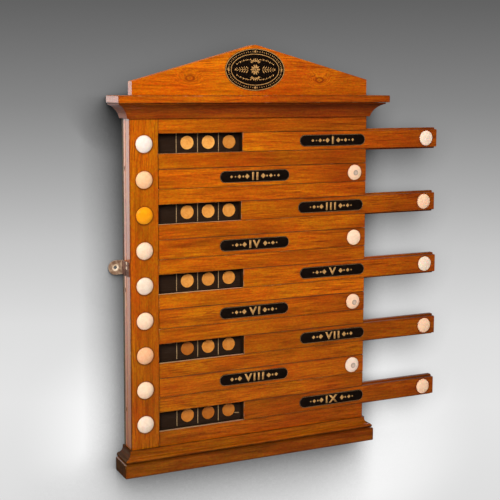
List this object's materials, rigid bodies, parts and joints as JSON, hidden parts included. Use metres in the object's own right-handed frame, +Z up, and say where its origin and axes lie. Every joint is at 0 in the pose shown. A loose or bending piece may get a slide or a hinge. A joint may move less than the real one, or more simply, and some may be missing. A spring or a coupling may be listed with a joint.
{
  "type": "billiard scoreboard",
  "caption": "Wall-hung life pool scoreboard: oak case with cornice and pediment, and name slides with bone knobs that pull out sideways to uncover life discs.",
  "frame": {"origin": "on the wall plane, in the middle of the case's back, level with the middle row", "axes": "+Z up, -Y out of the wall towards the viewer, +X to the viewer's right, the way the slides pull out"},
  "size_m": [0.6875, 0.0715, 0.7827],
  "materials": {
    "golden_oak": "varnished, satin",
    "slide_oak": "varnished, satin",
    "ebonised_wood": "black stain",
    "bone": "polished bone",
    "black_lacquer": "black lacquer",
    "aged_brass": "aged"
  },
  "bodies": {
    "case": {"back_board": "ebonised_wood", "left_side": "golden_oak", "right_side": "golden_oak", "left_stile": "golden_oak", "top_rail": "golden_oak", "rail_1": "golden_oak", "rail_2": "golden_oak", "rail_3": "golden_oak", "rail_4": "golden_oak", "rail_5": "golden_oak", "rail_6": "golden_oak", "rail_7": "golden_oak", "rail_8": "golden_oak", "bottom_rail": "golden_oak", "stile_button_1": "bone", "stile_button_2": "bone", "stile_button_3": "bone", "stile_button_4": "bone", "stile_button_5": "bone", "stile_button_6": "bone", "stile_button_7": "bone", "stile_button_8": "bone", "stile_button_9": "bone", "cornice_board": "golden_oak", "cove_front": "golden_oak", "cove_left": "golden_oak", "cove_right": "golden_oak", "pediment": "golden_oak", "plinth_block": "golden_oak", "base_moulding_front": "golden_oak", "base_moulding_left": "golden_oak", "base_moulding_right": "golden_oak", "hanging_plate_left": "aged_brass"},
    "slide_1": {"slide_1": "slide_oak", "slide_knob_1": "bone", "name_plate_1": "black_lacquer"},
    "slide_2": {"slide_2": "slide_oak", "slide_knob_2": "bone", "name_plate_2": "black_lacquer"},
    "slide_3": {"slide_3": "slide_oak", "slide_knob_3": "bone", "name_plate_3": "black_lacquer"},
    "slide_4": {"slide_4": "slide_oak", "slide_knob_4": "bone", "name_plate_4": "black_lacquer"},
    "slide_5": {"slide_5": "slide_oak", "slide_knob_5": "bone", "name_plate_5": "black_lacquer"},
    "slide_6": {"slide_6": "slide_oak", "slide_knob_6": "bone", "name_plate_6": "black_lacquer"},
    "slide_7": {"slide_7": "slide_oak", "slide_knob_7": "bone", "name_plate_7": "black_lacquer"},
    "slide_8": {"slide_8": "slide_oak", "slide_knob_8": "bone", "name_plate_8": "black_lacquer"},
    "slide_9": {"slide_9": "slide_oak", "slide_knob_9": "bone", "name_plate_9": "black_lacquer"}
  },
  "joints": [
    {"name": "slide_1_pull", "type": "slide", "parent": "case", "child": "slide_1", "axis": [1, 0, 0], "range_m": [-0.16575, 0.00425]},
    {"name": "slide_2_pull", "type": "slide", "parent": "case", "child": "slide_2", "axis": [1, 0, 0], "range_m": [0, 0.17]},
    {"name": "slide_3_pull", "type": "slide", "parent": "case", "child": "slide_3", "axis": [1, 0, 0], "range_m": [-0.1632, 0.0068]},
    {"name": "slide_4_pull", "type": "slide", "parent": "case", "child": "slide_4", "axis": [1, 0, 0], "range_m": [0, 0.17]},
    {"name": "slide_5_pull", "type": "slide", "parent": "case", "child": "slide_5", "axis": [1, 0, 0], "range_m": [-0.1683, 0.0017]},
    {"name": "slide_6_pull", "type": "slide", "parent": "case", "child": "slide_6", "axis": [1, 0, 0], "range_m": [0, 0.17]},
    {"name": "slide_7_pull", "type": "slide", "parent": "case", "child": "slide_7", "axis": [1, 0, 0], "range_m": [-0.17, 0]},
    {"name": "slide_8_pull", "type": "slide", "parent": "case", "child": "slide_8", "axis": [1, 0, 0], "range_m": [0, 0.17]},
    {"name": "slide_9_pull", "type": "slide", "parent": "case", "child": "slide_9", "axis": [1, 0, 0], "range_m": [-0.17, 0]}
  ]
}
